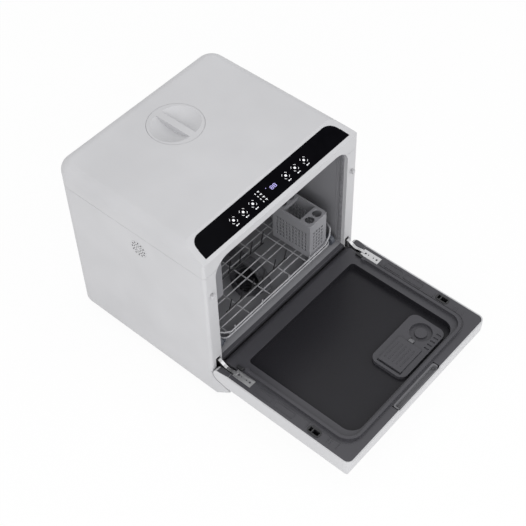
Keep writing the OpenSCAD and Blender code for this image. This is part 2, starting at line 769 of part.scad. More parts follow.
// post under the spray arm, with the pipe that feeds it
module riser() color(dark) translate([arm_x, arm_y, 0]) {
    difference() {
        union() {
            translate([0, 0, floor_z]) cylinder(r = 14, h = 5);
            translate([0, 0, 30]) cylinder(r = 9, h = arm_z - 30 - seat_gap);
            translate([0, 0, arm_z - 1]) cylinder(r = 5, h = arm_t + 3);
            translate([0, 0, arm_z + arm_t + 1.6]) cylinder(r = 8, h = 2.4);
        }
        translate([0, 0, 31]) cylinder(r = 3.2, h = arm_z - 28);
    }
    translate([-arm_x + filter_x - 75, 0, 38]) rotate([0, 90, 0])
        cylinder(r = 6, h = arm_x - filter_x + 68);
}

// two blades, each bent round a quarter circle or so, on a hub
module spray_arm() color(dark) translate([arm_x, arm_y, arm_z]) rotate(arm_rest) difference() {
    union() {
        cylinder(r = arm_hub_r, h = arm_t);
        for (a = [0, 180]) rotate(a) {
            blade(blade_w, 0, arm_t - 1);
            blade(8, arm_t - 1 - tiny, 1.4);
            along_blade(1) cylinder(r = blade_w / 2, h = arm_t - 1);
        }
    }
    translate([0, 0, -cut]) cylinder(r = 5 + pin_gap, h = arm_t + 2 * cut);
    for (a = [0, 180]) rotate(a) for (i = [0:4])
        along_blade(0.3 + i * 0.16) translate([i % 2 == 0 ? 7.4 : -7.4, 0, arm_t - 4])
            rotate(90) round_hole(3.2, 1.1, 8);
}

// a stretch of ring with the hub at its start; w wide, from z up by h
module blade(w, z, h) translate([blade_r, 0, z]) rotate(180 - blade_turn)
    rotate_extrude(angle = blade_turn) translate([blade_r - w / 2, 0]) square([w, h]);

// puts its children at a share of the blade's length, X across the blade
module along_blade(share) translate([blade_r, 0, 0]) rotate(180 - blade_turn * share)
    translate([blade_r, 0, 0]) children();

// an upright slot of half-length l and half-width w
module round_hole(l, w, h) {
    for (s = [-1, 1]) translate([s * (l - w), 0, 0]) cylinder(r = w, h = h);
    translate([-l + w, -w, 0]) cube([2 * (l - w), 2 * w, h]);
}

// seat of the filter cup: a raised collar with four lobes
module filter_plate() color(dark) translate([filter_x, filter_y, floor_z]) difference() {
    union() {
        cylinder(r = filter_r + 9, h = 2.4);
        cylinder(r = filter_r + 4, h = collar_h);
        for (a = [20:90:290]) rotate(a) translate([filter_r - 3, 0, 0]) cylinder(r = 16, h = collar_h - 1);
    }
    translate([0, 0, -cut]) cylinder(r = filter_r + 0.4, h = collar_h + 2 * cut);
    for (a = [20:90:290]) rotate(a) translate([filter_r - 3, 0, 3]) cylinder(r = 11, h = collar_h);
}

module filter_cup() color(black) translate([filter_x, filter_y, 0]) {
    difference() {
        union() {
            translate([0, 0, 28]) cylinder(r = filter_r - 3, h = 36);
            translate([0, 0, 64 - tiny]) cylinder(r = filter_r, h = 4);
        }
        translate([0, 0, 30]) cylinder(r = filter_r - 5, h = 31);
        for (ring = [1:3]) for (a = [0:60:300]) rotate(a + ring * 12)
            translate([filter_r * 0.27 * ring, 0, 60]) rotate(90) round_hole(2.2 + ring * 1.3, 1, 20);
        for (a = [0:30:330]) rotate(a) translate([filter_r - 8, -2.5, 34]) cube([12, 5, 22]);
    }
    translate([-3, -filter_r + 6, 68 - 2 * tiny]) cube([6, 2 * filter_r - 12, 4]);
}

module power_board() color("darkgreen") {
    translate([half_w - 120, 120, 26]) cube([80, 110, 1.6]);
    for (p = [[96, 130, 14, 20, 14], [120, 132, 12, 12, 18], [140, 150, 20, 26, 12], [100, 180, 26, 30, 16]])
        translate([half_w - 210 + p[0], p[1], 27.6 - tiny]) cube([p[2], p[3], p[4]]);
    for (x = [half_w - 114, half_w - 46]) for (y = [126, 224]) translate([x, y, foot_h + wall])
        cylinder(r = 3, h = 26 - foot_h - wall + tiny);
}

module inlet_port() color(grey) translate([port_x, 0, port_z]) {
    translate([0, body_d + port_reach, 0]) rotate([90, 0, 0]) difference() {
        cylinder(r = 13, h = 34);
        translate([0, 0, -cut]) cylinder(r = 9, h = 20);
    }
    translate([-15, body_d - 46, -19]) cube([32, 26, 40]);
    translate([1, body_d - 33, 21 - tiny]) cylinder(r = 11, h = 22);
}

module drain_port() color(grey) translate([-port_x, 0, port_z]) {
    translate([0, body_d + port_reach, 0]) rotate([90, 0, 0]) difference() {
        union() {
            cylinder(r = 9, h = 40);
            for (i = [0, 1]) translate([0, 0, 1 + i * 4.5]) cylinder(r1 = 9, r2 = 10.4, h = 3.4, $fn = 48);
            translate([0, 0, port_reach + wall]) cylinder(r = 14, h = 3);
        }
        translate([0, 0, -cut]) cylinder(r = 6.5, h = 36);
    }
}

module cord_gland() color(black) translate([-port_x + 36, body_d + 5, port_z]) rotate([90, 0, 0])
    difference() {
        union() {
            cylinder(r = 9, h = 5);
            cylinder(r = 7, h = 12);
            translate([0, 0, 5 + wall]) cylinder(r = 9, h = 3);
        }
        translate([0, 0, -cut]) cylinder(r = 3.6, h = 20);
    }

// ------------------------------------------------------------------- door

// side view (y, z) of the open door, inset by t
module door_profile(t = 0) {
    polygon([[-door_reach + t, liner_z - t], [-door_reach + edge_slant + t, door_under + t],
        [heel_y, door_under + t], [heel_y, liner_z - t]]);
}

module heel_profile() {
    translate([hinge_y, hinge_z]) circle(heel_r, $fn = 64);
    polygon([[heel_y - tiny, door_under], [hinge_y, hinge_z - heel_r], [hinge_y, liner_z],
        [heel_y - tiny, liner_z]]);
}

module door_panel() color(white) difference() {
    x = half_w - 0.5;
    union() {
        intersection() {
            along_x(-x, x) door_profile();
            linear_extrude(liner_z + cut) door_plan(x, 0);
        }
        both_sides() along_x(pocket_out, x) heel_profile();
    }
    intersection() {
        along_x(-x, x) polygon([[-door_reach + door_wall, liner_z + cut],
            [-door_reach + edge_slant + door_wall, door_under + door_wall],
            [heel_y + cut, door_under + door_wall], [heel_y + cut, liner_z + cut]]);
        linear_extrude(liner_z + 2 * cut) door_plan(x, door_wall);
    }
    // rounded long edges below
    both_sides() translate([x, 0, door_under]) rotate([0, 0, 180]) mirror([0, 1, 0])
        along_y(-door_reach - cut, 0) edge_round(4);
    // low front wall at the finger notch
    translate([-notch_w / 2, -door_reach - cut, liner_z - 6]) cube([notch_w, door_wall + 2 * cut, 10]);
}

// plan view (x, y) of the door without its heel, inset by t; x is half its width
module door_plan(x, t)
    round_rect(-x + t, -door_reach + t, x - t, 0, [door_r - t, door_r - t, 0, 0]);

// what a rounding of radius r takes off a corner at the origin
module edge_round(r) difference() {
    translate([-cut, -cut]) square(r + cut);
    translate([r, r]) circle(r);
}

// plan view (x, y) of a field inside the bead, grown by g
module bead_field(g = 0)
    round_rect(-mouth_x + bead_gap - g, hinge_y - (mouth_top - hinge_z) + bead_gap - g,
        mouth_x - bead_gap + g, -52 + g, [mouth_r + g - bead_gap, mouth_r + g - bead_gap, 4, 4]);

module door_liner() color(dark) difference() {
    x = half_w - 0.5 - door_wall - 0.2;
    rail_in = mouth_x - ledge_w;
    union() {
        // the flat border and the heel between the hinges
        translate([0, 0, liner_z - door_wall]) linear_extrude(door_wall)
            round_rect(-x, -door_reach + door_wall + 0.4, x, heel_y,
                [door_r - door_wall, door_r - door_wall, 0, 0]);
        along_x(-pocket_in, pocket_in) difference() {
            heel_profile();
            translate([heel_y - cut, door_under - cut]) square([60, door_wall + cut + 0.2]);
        }
        // the bead that closes into the mouth
        translate([0, 0, liner_z - tiny]) linear_extrude(bead_h) difference() {
            bead_field(0);
            bead_field(-bead_w);
            translate([-mouth_x + 12, -70]) square([mouth_w - 24, 60]);
        }
        // the pan's underside
        translate([0, 0, liner_z - pan_depth - door_wall]) linear_extrude(pan_depth)
            pan_field(door_wall);
    }
    translate([0, 0, liner_z - pan_depth]) linear_extrude(pan_depth + bead_h + cut) pan_field(0);
    // finger notch in the free edge
    translate([-notch_w / 2 - 2, -door_reach, liner_z - door_wall - cut])
        cube([notch_w + 4, 17, 10]);
    both_sides() translate([latch_x - 6.2, -latch_door() - 12.2, liner_z - door_wall - cut])
        cube([12.4, 24.4, 10]);
}

// distance of the latch from the fascia on the open door
function latch_door() = latch_z - hinge_z - hinge_y;

module pan_field(g)
    round_rect(-rail_inner() - g, hinge_y - (mouth_top - hinge_z) + bead_gap + bead_w + 5 - g,
        rail_inner() + g, -42 + g, [26 + g, 26 + g, 8 + g, 8 + g]);

function rail_inner() = mouth_x - ledge_w;

module hinge_straps() color(steel) both_sides() {
    difference() {
        union() {
            translate([mouth_x, -83, liner_z]) cube([17, 42, 1.6]);
            // the strap's neck over the heel, and its lug around the pin
            along_x(strap_x, strap_x + strap_w) strap_neck();
            along_x(strap_x, strap_x + 2.5) {
                translate([hinge_y, hinge_z]) circle(7);
                polygon([[hinge_y - 7, hinge_z], [hinge_y - 6, hinge_z + 15.2], [hinge_y + 12, hinge_z + 23],
                    [hinge_y + 7, hinge_z]]);
            }
        }
        translate([strap_x - cut, hinge_y, hinge_z]) rotate([0, 90, 0])
            cylinder(r = pin_r + pin_gap, h = strap_w);
        for (h = [[-49, 2.2], [-56, 1.3], [-68, 1.3], [-76, 2.2]])
            translate([mouth_x + 8.5, h[0], liner_z - cut]) cylinder(r = h[1], h = 4);
    }
}

// side view (y, z) of the strap's curved neck
module strap_neck() {
    path = [[-46, 86.5], [-36, 86.6], [-28, 84.6], [-21, 84.4], [-14, 87.6], [-8, 92], [-2, 94.2], [4, 92.4]];
    for (i = [0:len(path) - 2]) {
        v = path[i + 1] - path[i];
        n = [-v[1], v[0]] / norm(v) * 1.1;
        polygon([path[i] + n, path[i] - n, path[i + 1] - n, path[i + 1] + n]);
        translate(path[i + 1]) circle(1.1, $fn = 24);
    }
}

module hinge_stops() color(black) both_sides()
    translate([mouth_x - 7, -49, liner_z + tiny]) difference() {
        cube([6, 14, 5]);
        translate([-cut, -cut, 3.5]) rotate([30, 0, 0]) cube([8, 12, 6]);
    }

module latch_cups() color(black) both_sides()
    translate([latch_x, -latch_door(), liner_z]) difference() {
        union() {
            translate([0, 0, 0]) linear_extrude(1)
                round_rect(-8, -14, 8, 14, [7, 7, 7, 7]);
            translate([-6, -12, -16]) cube([12, 24, 16 + tiny]);
        }
        translate([-4.5, -10.5, -14.5]) cube([9, 13, 20]);
        translate([-4.5, 5, -14.5]) cube([9, 5.5, 20]);
    }

module handle_grip() color(grey) difference() {
    translate([0, 0, liner_z - 12]) linear_extrude(12)
        round_rect(-notch_w / 2, -door_reach + door_wall + 1.9, notch_w / 2, -door_reach + 16.6,
            [4, 4, 4, 4]);
    translate([0, 0, liner_z - 10.5]) linear_extrude(20)
        round_rect(-notch_w / 2 + 3, -door_reach + 6, notch_w / 2 - 3, -door_reach + 13.5, [3, 3, 3, 3]);
    translate([-notch_w / 2 + 3, -door_reach, liner_z - 6]) cube([notch_w - 6, 8, 10]);
}

// puts the dispenser's pieces on the pan's floor, near the free edge
module at_dispenser()
    translate([rail_inner() - 158, -door_reach + 38, liner_z - pan_depth]) children();

disp_w = 140;
disp_d = 78;
disp_h = 8;
lid_x = [10, 76];   // left and right side of the lid
lid_y = [12, 64];   // its side towards the free edge and its far side
lid_axis = [10.6, disp_h + 0.9];

// detergent dispenser, right of the pan's middle
module dispenser() color(dark) at_dispenser() {
    difference() {
        linear_extrude(disp_h) round_rect(0, 0, disp_w, disp_d, [16, 16, 16, 16]);
        translate([lid_x[0] + 4, lid_y[0] + 4, 1.6])
            cube([lid_x[1] - lid_x[0] - 8, lid_y[1] - lid_y[0] - 8, disp_h]);
        translate([lid_axis[0] - 4.6, lid_y[0] - 1, disp_h - 3]) cube([8, lid_y[1] - lid_y[0] + 2, 4]);
        // well for the tablet, right of the lid
        translate([110, 39, 2]) cylinder(r = 22, h = disp_h);
        for (i = [0:4]) translate([84 + 10 * i, 4, disp_h - 2]) cube([3, 10, 4]);
        translate([lid_x[1] + 0.6, 34, disp_h - 3]) cube([12, 12, 4]);
    }
    translate([110, 39, 2 - tiny]) cylinder(r = 12, h = 4);
}

module dispenser_lid() color(dark) at_dispenser() {
    z = disp_h + seat_gap;
    translate([lid_axis[0] - 0.6, lid_y[0], z])
        cube([lid_x[1] - lid_axis[0] + 0.6, lid_y[1] - lid_y[0], 2.2]);
    translate([lid_axis[0], lid_y[0], lid_axis[1]]) rotate([-90, 0, 0])
        cylinder(r = 1.6, h = lid_y[1] - lid_y[0]);
    for (i = [0:4]) translate([lid_x[0] + 10, lid_y[0] + 8 + i * 9, z + 2.2 - tiny])
        cube([44, 2, 0.8]);
}

// catch that slides away to let the lid spring up
module lid_catch() color(grey) at_dispenser() {
    z = disp_h - 3 + seat_gap;
    translate([lid_x[1] + 1, 35, z]) cube([8, 10, 4.6]);
    translate([lid_x[1] + 1, 35, z + 4.6 - tiny]) cube([5, 10, 1.4]);
}

// ------------------------------------------------------------------- rack

// places of the wires, behind the rack's front wire and across the rack
bow_pitch = (rack_d - 56) / 5;
bow_at = [for (i = [0:5]) 26 + i * bow_pitch];
cross_at = [for (i = [0:4]) bow_at[i] + 0.35 * bow_pitch];
long_at = concat([for (x = [-rack_x + 18:60:basket_x - 40]) x],
    [basket_x - 9, basket_x + 13, basket_x + basket_w - 13]);
front_post_x = [-rack_x + 30, -rack_x + 108, -rack_x + 186, basket_x - 7];
rear_post_x = [for (i = [0:3]) (i - 1.5) * rack_w / 4];

rail_x = rack_x + flare;      // rail along the rack's sides
rack_front_d = 20;            // depth of the front corners, where the rail climbs
rail_end = 3.4;               // level end of the rail after the climb
rail_arc = 16;                // radius of the rail's rear corners
wall_z = rack_z + frame_wire / 2 + 0.9;   // the side wires go on from the floor's at this height
bow_in = 2 * bow_drop - thin_wire / 2 - 0.6;     // end of the bows' straight floor wires
floor_wire_z = rack_z - (frame_wire + thin_wire) / 2 + 0.7;

// flat floor of the rack: ring, long wires, cross wires and the bows' lower parts
module rack_frame() color(steel) {
    y0 = rack_y;
    y1 = rack_y + rack_d;
    low = floor_wire_z;
    wire_ring(-rack_x, y0, rack_x, y1, rack_z, 14, frame_wire);
    // bows: down outside the ring, round a small loop and across the floor
    for (y = bow_at) {
        both_sides() translate([rack_x + 0.7, y0 + y, low - 1]) {
            cylinder(d = thin_wire, h = wall_z - low + 1);
            translate([-bow_drop, 0, 0]) rotate([90, 0, 0]) rotate(180)
                rotate_extrude(angle = 180) translate([bow_drop, 0]) circle(d = thin_wire);
            translate([-2 * bow_drop, 0, 0]) cylinder(d = thin_wire, h = 1);
        }
        wire([-rack_x + bow_in, y0 + y, low], [rack_x - bow_in, y0 + y, low], thin_wire + 0.3);
    }
    for (y = cross_at) wire([-rack_x, y0 + y, low], [rack_x, y0 + y, low], thin_wire);
    for (x = long_at) wire([x, y0, rack_z], [x, y1, rack_z], thin_wire);
}

// one long side of the rack, on the right: leaning wires, and the rail with its rear corner
module rack_side_wires() {
    y1 = rack_y + rack_d;
    for (y = bow_at)
        wire([rail_x, rack_y + y, rail_z], [rack_x + 1, rack_y + y, wall_z + seat_gap], thin_wire);
    wire([rail_x, rack_y + rack_front_d + rail_end + seat_gap, rail_z], [rail_x, y1 - rail_arc, rail_z],
        frame_wire);
    translate([rail_x - rail_arc, y1 - rail_arc, rail_z])
        rotate_extrude(angle = 90) translate([rail_arc, 0]) circle(d = frame_wire);
}

module rack_right() color(steel) rack_side_wires();

// left side with the cup guard above its rail
module rack_left() color(steel) {
    mirror([1, 0, 0]) rack_side_wires();
    y0 = rack_y;
    y1 = rack_y + rack_d;
    for (i = [1:4])
        wire([-rail_x, y0 + bow_at[i] + 5, rail_z], [-rail_x, y0 + bow_at[i] + 5, guard_z], thin_wire);
    wire_path([[-rail_x, y0 + 34, rail_z], [-rail_x, y0 + 34, guard_z - 12], [-rail_x, y0 + 44, guard_z],
        [-rail_x, y1 - 42, guard_z], [-rail_x, y1 - 32, guard_z - 10], [-rail_x, y1 - 24, rail_z]],
        frame_wire - 0.4);
}

// back of the rack: rail between the sides' corners, and posts
module rack_back() color(steel) {
    y1 = rack_y + rack_d;
    x = rail_x - rail_arc - seat_gap;
    wire([-x, y1, rail_z], [x, y1, rail_z], frame_wire);
    for (x = rear_post_x) wire([x, y1, wall_z + seat_gap], [x, y1, rail_z], thin_wire);
}

// front of the rack: a low wire whose ends climb round the corners to the rails, and posts
module rack_front() color(steel) {
    y0 = rack_y;
    wire([-rack_x + 18, y0, front_rail_z], [rack_x - 18, y0, front_rail_z], frame_wire);
    climb = [for (a = [0:30:90]) [rack_x - 18 + (flare + 18) * sin(a), y0 + rack_front_d * (1 - cos(a)),
        front_rail_z + (rail_z - front_rail_z) * sin(a)]];
    both_sides() {
        wire_path(concat(climb, [[rail_x, y0 + rack_front_d + rail_end, rail_z]]), frame_wire);
        turned_to(climb[0], 2 * climb[0] - climb[1]) sphere(d = frame_wire + 0.16);
    }
    for (x = front_post_x) wire([x, y0, wall_z + seat_gap], [x, y0, front_rail_z + 8], thin_wire);
}

// a row of upright tines on a rod across the rack
module tine_row(y, x0, x1, step, h, lean) {
    z = rack_z + thin_wire / 2 + seat_gap + tine_wire / 2;
    wire([x0 - 8, y, z], [x1 + 8, y, z], tine_wire);
    for (x = [x0:step:x1]) {
        wire([x, y, z], [x + lean, y, z + h], tine_wire - 0.3);
        turned_to([x + lean, y, z + h], [x + 2 * lean, y, z + 2 * h])
            translate([0, 0, -0.2]) cylinder(h = 1, d1 = tine_wire - 0.5, d2 = tine_wire - 1.5);
    }
}

module plate_tines() color(black) {
    tine_row(rack_y + rack_d - 108, rack_x - 188, rack_x - 8, 20, 44, 6);
    tine_row(rack_y + rack_d - 36, rack_x - 188, rack_x - 8, 20, 52, 6);
}

module bowl_tines() color(black) {
    tine_row(rack_y + 40, basket_x - 197, basket_x - 37, 32, 24, 8);
    tine_row(rack_y + 100, basket_x - 197, basket_x - 37, 32, 32, 8);
}

module roller_clips() color(grey) both_sides() for (y = roller_at) {
    x = rack_x - 5.7;
    translate([0, rack_y + y, 0]) {
        translate([x, -8, roller_z - 6]) cube([3.2, 16, 9.6]);
        translate([x, -8, rack_z - frame_wire / 2 - seat_gap - 2.4]) cube([7.4, 16, 2.4]);
        translate([x, 0, roller_z]) rotate([0, 90, 0])
            cylinder(r = axle_r, h = roller_x - x - 0.6);
    }
}

// one roller; side is -1 on the left and 1 on the right
module roller(side, y) color([0.45, 0.46, 0.5])
    translate([side * (roller_x - roller_w), rack_y + y, roller_z]) rotate([0, side * 90, 0])
        difference() {
            union() {
                translate([0, 0, 0.8]) cylinder(r = roller_r - seat_gap, h = roller_w - 1.6);
                cylinder(r = roller_r - 1, h = roller_w);
            }
            translate([0, 0, -cut]) cylinder(r = axle_r + pin_gap, h = roller_w + 2 * cut);
            difference() {
                translate([0, 0, roller_w - 3]) cylinder(r = roller_r - 2.6, h = 4);
                translate([0, 0, roller_w - 4]) cylinder(r = axle_r + 2, h = 8);
                for (a = [0:72:288]) rotate(a) translate([0, -0.9, roller_w - 4]) cube([roller_r, 1.8, 8]);
            }
        }

module roller_front_left() roller(-1, roller_at[0]);
module roller_front_right() roller(1, roller_at[0]);
module roller_middle_left() roller(-1, roller_at[1]);
module roller_middle_right() roller(1, roller_at[1]);
module roller_rear_left() roller(-1, roller_at[2]);
module roller_rear_right() roller(1, roller_at[2]);

// flat wall with rows of slanted holes, length l and height h
module lattice(l, h) {
    cols = floor((l - 12) / 8);
    rows = floor((h - 26) / 9);
    difference() {
        square([l, h]);
        for (i = [0:cols - 1]) for (j = [0:rows - 1])
            translate([l / 2 + (i - (cols - 1) / 2) * 8, 17 + j * 9])
                polygon([[-3, -3], [1.6, -3], [3, 3], [-1.6, 3]]);
    }
}

module cutlery_basket() color([0.55, 0.56, 0.6])
    translate([basket_x, rack_y + 5, basket_z]) {
        for (x = [0, basket_w - basket_t]) translate([x, 0, 0]) rotate([90, 0, 90])
            linear_extrude(basket_t) lattice(basket_d, basket_h - 6);
        for (y = [basket_t, basket_d]) translate([0, y, 0]) rotate([90, 0, 0])
            linear_extrude(basket_t) lattice(basket_w, basket_h - 6);
        // floor with drain holes
        linear_extrude(basket_t) difference() {
            square([basket_w, basket_d]);
            for (i = [0:4]) for (j = [0:9]) translate([7 + i * 9, 7 + j * 9]) square(5, center = true);
        }
        // rim, two bars and the rings for knives and spoons at both ends
        translate([0, 0, basket_h - 6 - tiny]) linear_extrude(6) difference() {
            round_rect(-1, -1, basket_w + 1, basket_d + 1, [7, 7, 7, 7]);
            round_rect(2.4, 2.4, basket_w - 2.4, basket_d - 2.4, [4, 4, 4, 4]);
        }
        translate([0, 0, basket_h - 3]) linear_extrude(3) difference() {
            union() {
                square([basket_w, 27]);
                translate([0, basket_d - 27]) square([basket_w, 27]);
            }
            for (x = [14, basket_w - 14]) for (y = [13, basket_d - 13]) translate([x, y]) circle(9.5);
        }
        for (y = [25, basket_d - 27]) translate([0, y, basket_h - 8]) cube([basket_w, 2, 8]);
    }

// ------------------------------------------------------------------ nodes

placed() top_cover();
placed() outer_shell();
placed() rear_cover();
placed() base_pan();
placed() feet();
placed() control_glass();
placed() control_board();
placed() fill_cap();
placed() cap_seal();
placed() fill_funnel();
placed() water_tank();
placed() tub();
placed() door_gasket();
placed() air_duct();
placed() vent_grille();
placed() fan_housing();
placed() fan_wheel();
placed() latch_hooks();
placed() hinge_brackets();
placed() sump();
placed() wash_pump();
placed() drain_pump();
placed() heater();
placed() riser();
placed() spray_arm();
placed() filter_plate();
placed() filter_cup();
placed() power_board();
placed() inlet_port();
placed() drain_port();
placed() cord_gland();
placed() rear_screws();
placed() door_panel();
placed() door_liner();
placed() hinge_straps();
placed() hinge_stops();
placed() latch_cups();
placed() handle_grip();
placed() dispenser();
placed() dispenser_lid();
placed() lid_catch();
placed() rack_frame();
placed() rack_left();
placed() rack_right();
placed() rack_back();
placed() rack_front();
placed() plate_tines();
placed() bowl_tines();
placed() roller_clips();
placed() roller_front_left();
placed() roller_front_right();
placed() roller_middle_left();
placed() roller_middle_right();
placed() roller_rear_left();
placed() roller_rear_right();
placed() cutlery_basket();
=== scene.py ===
# %% [markdown]
# # A countertop dishwasher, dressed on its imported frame
#
# The machine arrives as a set of solids, one for each piece that comes apart on
# a bench. This lesson gives each of them the finish of its real material, adds
# the small printed and moulded details that a solid doesn't need, and sets up
# a plain studio. The solids are never moved or reshaped.

# %% Load the frame
import bpy, json, math
from mathutils import Matrix, Vector

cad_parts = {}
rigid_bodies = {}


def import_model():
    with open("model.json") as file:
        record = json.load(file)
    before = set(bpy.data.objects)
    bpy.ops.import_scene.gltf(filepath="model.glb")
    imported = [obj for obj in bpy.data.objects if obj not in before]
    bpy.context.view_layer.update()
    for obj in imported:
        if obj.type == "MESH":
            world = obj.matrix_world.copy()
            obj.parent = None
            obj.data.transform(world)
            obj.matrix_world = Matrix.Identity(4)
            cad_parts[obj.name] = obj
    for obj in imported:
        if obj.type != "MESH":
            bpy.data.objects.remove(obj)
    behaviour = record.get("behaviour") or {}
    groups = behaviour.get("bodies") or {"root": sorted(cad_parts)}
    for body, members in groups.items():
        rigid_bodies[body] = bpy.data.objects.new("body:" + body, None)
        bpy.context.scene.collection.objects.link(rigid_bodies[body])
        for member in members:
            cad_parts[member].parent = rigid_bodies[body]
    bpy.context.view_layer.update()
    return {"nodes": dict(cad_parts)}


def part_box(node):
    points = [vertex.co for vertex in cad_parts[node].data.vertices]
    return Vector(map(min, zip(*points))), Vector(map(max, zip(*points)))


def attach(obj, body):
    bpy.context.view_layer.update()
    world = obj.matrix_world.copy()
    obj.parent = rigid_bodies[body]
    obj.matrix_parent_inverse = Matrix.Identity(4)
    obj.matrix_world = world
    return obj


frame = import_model()
NODES = frame["nodes"]

# %% [markdown]
# ## The camera comes first
#
# The machine is seen from above and from its left front corner, with the door
# lying open towards the viewer. A long lens keeps the box's edges almost
# parallel. The camera's own axes are worked out from three plain angles, and
# written into its matrix, so nothing has to be aimed by eye.

# %% Camera
FRAME_PX = 526            # side of the square picture
SENSOR = 36               # width of the sensor in mm
FOCAL_PX = 1192.1         # focal length, in pixels of the picture
AZIMUTH, ELEVATION, ROLL = (math.radians(a) for a in (-47.78, 50.09, -1.77))
CAMERA_AT = Vector((-1.0825, -0.9562, 1.8999))


def camera_axes():
    """The directions to the camera's right, up and back."""
    back = Vector((math.sin(AZIMUTH) * math.cos(ELEVATION),
                   -math.cos(AZIMUTH) * math.cos(ELEVATION), math.sin(ELEVATION)))
    right = (-back).cross(Vector((0, 0, 1))).normalized()
    up = right.cross(-back)
    c, s = math.cos(ROLL), math.sin(ROLL)
    return c * right + s * up, -s * right + c * up, back


eye = bpy.data.cameras.new("eye")
eye.sensor_width = SENSOR
eye.lens = SENSOR * FOCAL_PX / FRAME_PX
eye.clip_end = 30
camera = bpy.data.objects.new("camera", eye)
bpy.context.scene.collection.objects.link(camera)
camera.matrix_world = Matrix.Translation(CAMERA_AT) @ Matrix(camera_axes()).transposed().to_4x4()
bpy.context.scene.camera = camera
print("lens: %.1f mm" % eye.lens)

# %% [markdown]
# ## A plain studio
#
# Pale goods need soft, even light, or their faces clip to white and lose their
# form. One wide panel of light hangs to the left, a weaker one fills from the
# right, a third hangs above, and the world adds the rest. The floor answers the
# camera with white but keeps a part of the real shadow, so the machine still
# stands on it.

# %% Lights, floor and world
scene = bpy.context.scene
scene.view_settings.view_transform = "Standard"
MIDDLE = Vector((0, 0, 0.2))     # the lamps face this point of the machine


def soft_panel(name, place, size, power):
    """A square panel of light that faces the machine, with its side in m and its power in W."""
    lamp = bpy.data.lights.new(name, "AREA")
    lamp.shape, lamp.size, lamp.energy = "SQUARE", size, power
    panel = bpy.data.objects.new(name, lamp)
    scene.collection.objects.link(panel)
    facing = (Vector(place) - MIDDLE).to_track_quat("Z", "Y")
    panel.matrix_world = Matrix.Translation(place) @ facing.to_matrix().to_4x4()


def link(tree, a, a_out, b, b_in):
    tree.links.new(a.outputs[a_out], b.inputs[b_in])


def seen_white(tree):
    """A value that is 1 where the camera sees a surface, straight, mirrored or through glass."""
    path = tree.nodes.new("ShaderNodeLightPath")
    seen = path.outputs["Is Camera Ray"]
    for ray in ("Is Glossy Ray", "Is Transmission Ray"):
        most = tree.nodes.new("ShaderNodeMath")
        most.operation = "MAXIMUM"
        tree.links.new(seen, most.inputs[0])
        tree.links.new(path.outputs[ray], most.inputs[1])
        seen = most.outputs[0]
    return seen


FLOOR_WHITE = 0.94        # share of the floor that is shown as white
FLOOR_SIZE = 12           # m
WORLD_LIGHT = 0.62        # strength of the light from all round
PAPER = (0.93, 0.93, 0.93, 1)
WHITE = (1, 1, 1, 1)

bpy.ops.object.select_all(action="DESELECT")
bpy.ops.mesh.primitive_plane_add(size=FLOOR_SIZE, location=(0, 0, 0))
floor = bpy.context.object
floor.name = "studio_floor"
paper = bpy.data.materials.new("studio_paper")
paper.use_nodes = True
tree = paper.node_tree
tree.nodes.clear()
out = tree.nodes.new("ShaderNodeOutputMaterial")
matt = tree.nodes.new("ShaderNodeBsdfDiffuse")
matt.inputs["Color"].default_value = PAPER
glow = tree.nodes.new("ShaderNodeEmission")
glow.inputs["Strength"].default_value = 1
mix = tree.nodes.new("ShaderNodeMixShader")
share = tree.nodes.new("ShaderNodeMath")
share.operation = "MULTIPLY"
share.inputs[1].default_value = FLOOR_WHITE
tree.links.new(seen_white(tree), share.inputs[0])
link(tree, share, 0, mix, 0)
link(tree, matt, 0, mix, 1)
link(tree, glow, 0, mix, 2)
link(tree, mix, 0, out, 0)
floor.data.materials.append(paper)

world = bpy.data.worlds.new("studio_world")
scene.world = world
world.use_nodes = True
tree = world.node_tree
tree.nodes.clear()
out = tree.nodes.new("ShaderNodeOutputWorld")
dim = tree.nodes.new("ShaderNodeBackground")
dim.inputs["Strength"].default_value = WORLD_LIGHT
full = tree.nodes.new("ShaderNodeBackground")
full.inputs["Strength"].default_value = 1
for sky in (dim, full):
    sky.inputs["Color"].default_value = WHITE
mix = tree.nodes.new("ShaderNodeMixShader")
tree.links.new(seen_white(tree), mix.inputs[0])
link(tree, dim, 0, mix, 1)
link(tree, full, 0, mix, 2)
link(tree, mix, 0, out, 0)

soft_panel("key", (-2.2, -1.5, 1.7), 2.2, 38)
soft_panel("fill", (1.2, -2.2, 1.3), 2.0, 16)
soft_panel("top", (0.3, 0.6, 2.8), 2.0, 12)

# %% [markdown]
# ## Finishes
#
# A moulded shell isn't one flat colour. The tool that made it was etched, so the
# surface has a very fine grain that breaks up the shine, and the colour drifts a
# little with the thickness. Both come from noise on Object coordinates, which
# stay still when the pieces move. A Bevel node rounds the light on each sharp
# edge, as a real mould does.

# %% Moulded plastic
GRAIN = 1500              # grains to the metre of an etched mould
PATCHES = 9               # patches to the metre of the slow change of colour
DRIFT = 0.03              # how far the colour changes, as a share
MOULD_EDGE = 0.0007       # radius of a moulded edge
NOISE_LOW, NOISE_HIGH = 0.3, 0.7     # the part of a noise that is put to use


def shade(colour, k):
    """The colour times k, with its alpha."""
    return tuple(min(1, c * k) for c in colour) + (1,)


def new_finish(name):
    """A new material, its tree, its surface and its coordinates."""
    material = bpy.data.materials.new(name)
    material.use_nodes = True
    tree = material.node_tree
    return material, tree, tree.nodes["Principled BSDF"], tree.nodes.new("ShaderNodeTexCoord")


def noise(tree, where, scale, detail, stretch=(1, 1, 1)):
    """Noise on Object coordinates, with scale in waves to the metre."""
    spread = tree.nodes.new("ShaderNodeMapping")
    spread.inputs["Scale"].default_value = stretch
    link(tree, where, "Object", spread, "Vector")
    grain = tree.nodes.new("ShaderNodeTexNoise")
    grain.inputs["Scale"].default_value = scale
    grain.inputs["Detail"].default_value = detail
    link(tree, spread, 0, grain, "Vector")
    return grain


